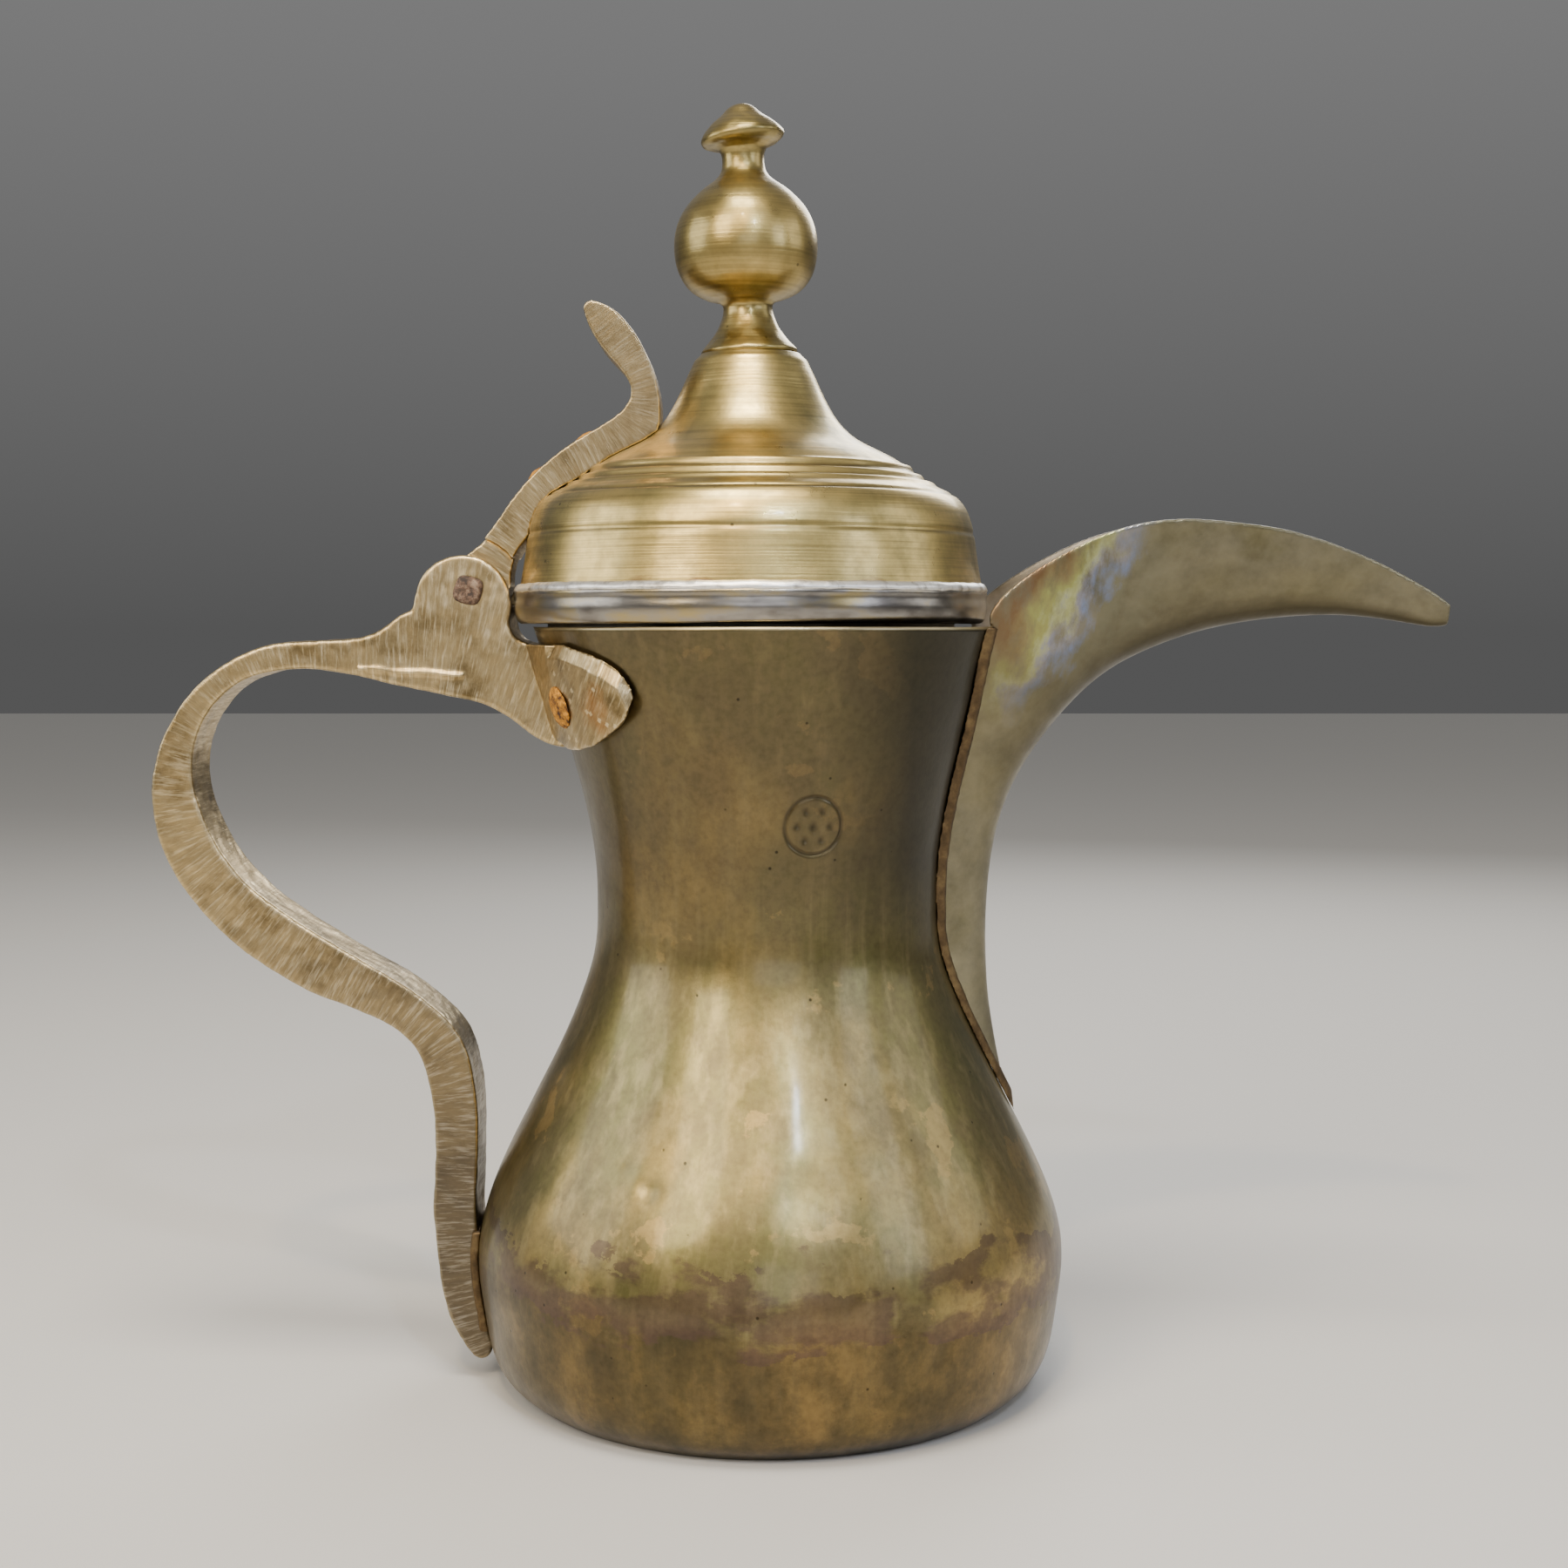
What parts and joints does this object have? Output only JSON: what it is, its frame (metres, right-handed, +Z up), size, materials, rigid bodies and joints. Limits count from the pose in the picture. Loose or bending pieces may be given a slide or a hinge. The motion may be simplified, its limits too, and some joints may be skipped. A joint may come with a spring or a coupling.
{
  "type": "dallah coffee pot",
  "caption": "Waisted brass coffee pot with a long open beak, an S-shaped cast handle, and a domed lid with a turned finial that swings on a riveted hinge.",
  "frame": {"origin": "centre of the base's flat underside, on the body's axis", "axes": "+X towards the beak, +Y to the far side, +Z up"},
  "size_m": [0.3045, 0.1392, 0.2998],
  "materials": {
    "body_brass": "aged, burnished, with brown and olive patina",
    "spout_brass": "aged, grey-gold patina",
    "lid_brass": "aged, turned lines, brighter",
    "band_brass": "dull grey-brown brass",
    "handle_bronze": "cast and filed",
    "braze": "rough brown braze",
    "tin_solder": "pale tin solder",
    "iron": "rusted iron"
  },
  "bodies": {
    "pot": {"bowl": "body_brass", "neck": "body_brass", "base_disc": "body_brass", "base_braze": "braze", "waist_braze": "braze", "spout": "spout_brass", "spout_solder": "braze", "handle": "handle_bronze", "foot_solder": "braze", "handle_rivet_near": "iron", "handle_rivet_far": "iron", "hinge_pin": "iron"},
    "lid": {"lid_dome": "lid_brass", "lid_band": "band_brass", "lid_solder": "tin_solder", "lid_collar": "band_brass", "finial": "lid_brass", "finial_rove": "lid_brass", "thumb_lever": "handle_bronze", "lever_rivet_lower": "iron", "lever_rivet_upper": "iron"}
  },
  "joints": [
    {"name": "lid_hinge", "type": "hinge", "parent": "pot", "child": "lid", "pos_m": [-0.07, 0, 0.1872], "axis": [0, -1, 0], "range_deg": [0, 100]}
  ]
}
